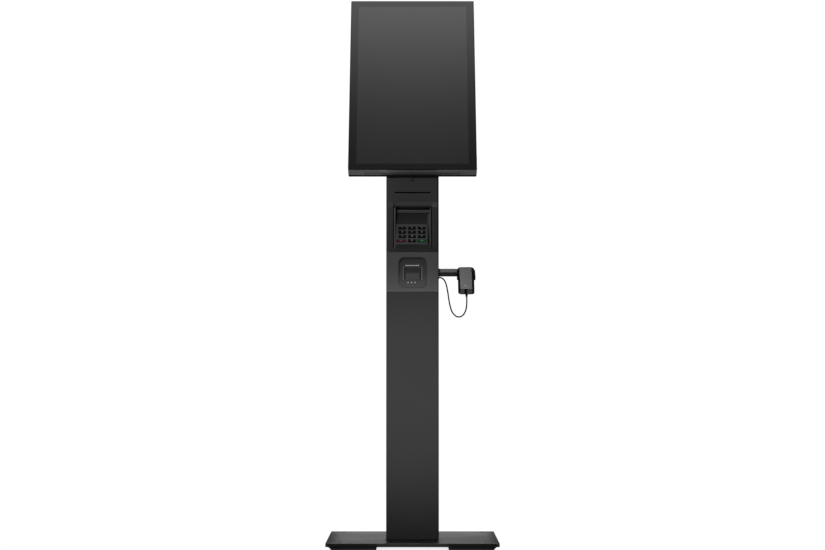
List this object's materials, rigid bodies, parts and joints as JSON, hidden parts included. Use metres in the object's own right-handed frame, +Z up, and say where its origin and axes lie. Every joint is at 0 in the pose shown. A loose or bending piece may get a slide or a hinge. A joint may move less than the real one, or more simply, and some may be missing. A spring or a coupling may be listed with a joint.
{
  "type": "touchscreen kiosk",
  "caption": "Free-standing kiosk: tilting portrait touchscreen on a square column with hinged head door, receipt slot, keypad terminal, built-in scanner and corded hand scanner on a side arm.",
  "frame": {"origin": "centre of the base plate's footprint, on the floor plane under the rubber pads", "axes": "+Z up along the column, -Y towards the user, +X to the user's right, where the hand scanner hangs"},
  "size_m": [0.45, 0.402, 1.4892],
  "materials": {
    "ballast_runners": "black powder coat on steel bar",
    "base_plate": "fine-texture dark grey powder coat",
    "cable_grommet": "black rubber",
    "card_reader": "black moulded plastic",
    "column_spine": "satin black over pressed steel",
    "cover_glass": "black-bordered toughened glass, screen off",
    "cover_screws": "black zinc",
    "cradle": "soft-touch black over plastic",
    "display_back": "fine-textured black plastic",
    "display_frame": "dark anodised frame",
    "door_lock": "dark nickel",
    "door_pins": "ground steel",
    "foot_bolts": "black oxide",
    "handset_cable": "black cable jacket",
    "handset_cap": "ribbed dark grey plastic",
    "handset_core": "black soft-touch bumper",
    "handset_face": "fine-grained mid grey plastic",
    "head_door": "fine-texture black powder coat",
    "head_shell": "fine-texture black powder coat",
    "key_0": "satin black key with light numeral",
    "key_1": "satin black key with light numeral",
    "key_2": "satin black key with light numeral",
    "key_3": "satin black key with light numeral",
    "key_4": "satin black key with light numeral",
    "key_5": "satin black key with light numeral",
    "key_6": "satin black key with light numeral",
    "key_7": "satin black key with light numeral",
    "key_8": "satin black key with light numeral",
    "key_9": "satin black key with light numeral",
    "key_cancel": "satin red key",
    "key_enter": "satin green key",
    "lcd_panel": "dark unlit panel",
    "levelling_screws": "black oxide",
    "lower_cover": "fine-texture black powder coat",
    "mainboard": "green solder resist with bare metal heat sink",
    "mains_inlet": "black moulded socket with brass blades",
    "module_cover": "fine spark-eroded dark grey plastic",
    "paper_chute": "black moulded plastic",
    "paper_roll": "white thermal paper",
    "platen_roller": "ground rubber on a steel shaft",
    "power_button": "satin dark grey button",
    "power_supply": "plain anodised case",
    "print_head": "anodised heat spreader with ceramic edge",
    "printer_body": "dark grey moulded plastic",
    "rear_cover": "fine-texture black powder coat",
    "rubber_pads": "dark grey ribbed rubber",
    "scan_button": "light grey silicone button",
    "scan_engine": "black moulded camera block with glossy lens barrels",
    "scan_lens": "dark red scanner window",
    "scan_lights": "frosted light pipes, dimly lit",
    "scan_window": "dark tinted scanner glass",
    "scanner_dish": "fine spark-eroded dark grey plastic",
    "side_arm": "satin dark grey paint",
    "speakers": "black moulded speaker boxes",
    "terminal_display": "dark display glass, off",
    "terminal_housing": "fine-grained black plastic",
    "tilt_bracket": "black painted steel",
    "tilt_pin": "ground steel",
    "tilt_yoke": "black painted steel",
    "yoke_screws": "black zinc"
  },
  "bodies": {
    "stand": {"base_plate": "base_plate", "ballast_runners": "ballast_runners", "rubber_pads": "rubber_pads", "levelling_screws": "levelling_screws", "foot_bolts": "foot_bolts", "column_spine": "column_spine", "lower_cover": "lower_cover", "rear_cover": "rear_cover", "cover_screws": "cover_screws", "module_cover": "module_cover", "head_shell": "head_shell", "scanner_dish": "scanner_dish", "scan_window": "scan_window", "scan_lights": "scan_lights", "scan_engine": "scan_engine", "door_pins": "door_pins", "printer_body": "printer_body", "print_head": "print_head", "power_supply": "power_supply", "mains_inlet": "mains_inlet", "tilt_bracket": "tilt_bracket", "tilt_pin": "tilt_pin", "side_arm": "side_arm", "cradle": "cradle", "cable_grommet": "cable_grommet", "handset_cable": "handset_cable"},
    "door": {"head_door": "head_door", "paper_chute": "paper_chute", "terminal_housing": "terminal_housing", "terminal_display": "terminal_display", "card_reader": "card_reader"},
    "lock": {"door_lock": "door_lock"},
    "platen": {"platen_roller": "platen_roller"},
    "roll": {"paper_roll": "paper_roll"},
    "display": {"cover_glass": "cover_glass", "display_frame": "display_frame", "lcd_panel": "lcd_panel", "display_back": "display_back", "mainboard": "mainboard", "speakers": "speakers", "tilt_yoke": "tilt_yoke", "yoke_screws": "yoke_screws"},
    "power": {"power_button": "power_button"},
    "handset": {"handset_core": "handset_core", "handset_face": "handset_face", "handset_cap": "handset_cap", "scan_lens": "scan_lens"},
    "trigger": {"scan_button": "scan_button"},
    "key_1_cap": {"key_1": "key_1"},
    "key_2_cap": {"key_2": "key_2"},
    "key_3_cap": {"key_3": "key_3"},
    "key_4_cap": {"key_4": "key_4"},
    "key_5_cap": {"key_5": "key_5"},
    "key_6_cap": {"key_6": "key_6"},
    "key_7_cap": {"key_7": "key_7"},
    "key_8_cap": {"key_8": "key_8"},
    "key_9_cap": {"key_9": "key_9"},
    "key_cancel_cap": {"key_cancel": "key_cancel"},
    "key_0_cap": {"key_0": "key_0"},
    "key_enter_cap": {"key_enter": "key_enter"}
  },
  "joints": [
    {"name": "display_tilt", "type": "hinge", "parent": "stand", "child": "display", "pos_m": [0, 0.00732, 1.13126], "axis": [-1, 0, 0], "range_deg": [0, 20]},
    {"name": "door_swing", "type": "hinge", "parent": "stand", "child": "door", "pos_m": [-0.0655, -0.084, 0.88], "axis": [0, 0, -1], "range_deg": [0, 105]},
    {"name": "lock_turn", "type": "hinge", "parent": "door", "child": "lock", "pos_m": [0, -0.086, 0.9704], "axis": [0, 1, 0], "range_deg": [-90, 0]},
    {"name": "roll_spin", "type": "hinge", "parent": "stand", "child": "roll", "pos_m": [0, 0.002, 0.9386], "axis": [1, 0, 0], "continuous": true},
    {"name": "platen_spin", "type": "hinge", "parent": "stand", "child": "platen", "pos_m": [0, -0.054, 0.9312], "axis": [1, 0, 0], "continuous": true},
    {"name": "power_press", "type": "slide", "parent": "display", "child": "power", "axis": [-1, 0, 0], "range_m": [0, 0.0007]},
    {"name": "handset_lift", "type": "slide", "parent": "stand", "child": "handset", "axis": [0, 0, 1], "range_m": [0, 0.12]},
    {"name": "trigger_press", "type": "slide", "parent": "handset", "child": "trigger", "axis": [0.2079, 0.9781, 0], "range_m": [0, 0.001]},
    {"name": "key_1_press", "type": "slide", "parent": "door", "child": "key_1_cap", "axis": [0, 0.8988, -0.4384], "range_m": [0, 0.0012]},
    {"name": "key_2_press", "type": "slide", "parent": "door", "child": "key_2_cap", "axis": [0, 0.8988, -0.4384], "range_m": [0, 0.0012]},
    {"name": "key_3_press", "type": "slide", "parent": "door", "child": "key_3_cap", "axis": [0, 0.8988, -0.4384], "range_m": [0, 0.0012]},
    {"name": "key_4_press", "type": "slide", "parent": "door", "child": "key_4_cap", "axis": [0, 0.8988, -0.4384], "range_m": [0, 0.0012]},
    {"name": "key_5_press", "type": "slide", "parent": "door", "child": "key_5_cap", "axis": [0, 0.8988, -0.4384], "range_m": [0, 0.0012]},
    {"name": "key_6_press", "type": "slide", "parent": "door", "child": "key_6_cap", "axis": [0, 0.8988, -0.4384], "range_m": [0, 0.0012]},
    {"name": "key_7_press", "type": "slide", "parent": "door", "child": "key_7_cap", "axis": [0, 0.8988, -0.4384], "range_m": [0, 0.0012]},
    {"name": "key_8_press", "type": "slide", "parent": "door", "child": "key_8_cap", "axis": [0, 0.8988, -0.4384], "range_m": [0, 0.0012]},
    {"name": "key_9_press", "type": "slide", "parent": "door", "child": "key_9_cap", "axis": [0, 0.8988, -0.4384], "range_m": [0, 0.0012]},
    {"name": "key_cancel_press", "type": "slide", "parent": "door", "child": "key_cancel_cap", "axis": [0, 0.8988, -0.4384], "range_m": [0, 0.0012]},
    {"name": "key_0_press", "type": "slide", "parent": "door", "child": "key_0_cap", "axis": [0, 0.8988, -0.4384], "range_m": [0, 0.0012]},
    {"name": "key_enter_press", "type": "slide", "parent": "door", "child": "key_enter_cap", "axis": [0, 0.8988, -0.4384], "range_m": [0, 0.0012]}
  ],
  "couplings": [
    {"joint": "platen_spin", "follows": "roll_spin", "ratio": -6.2}
  ]
}
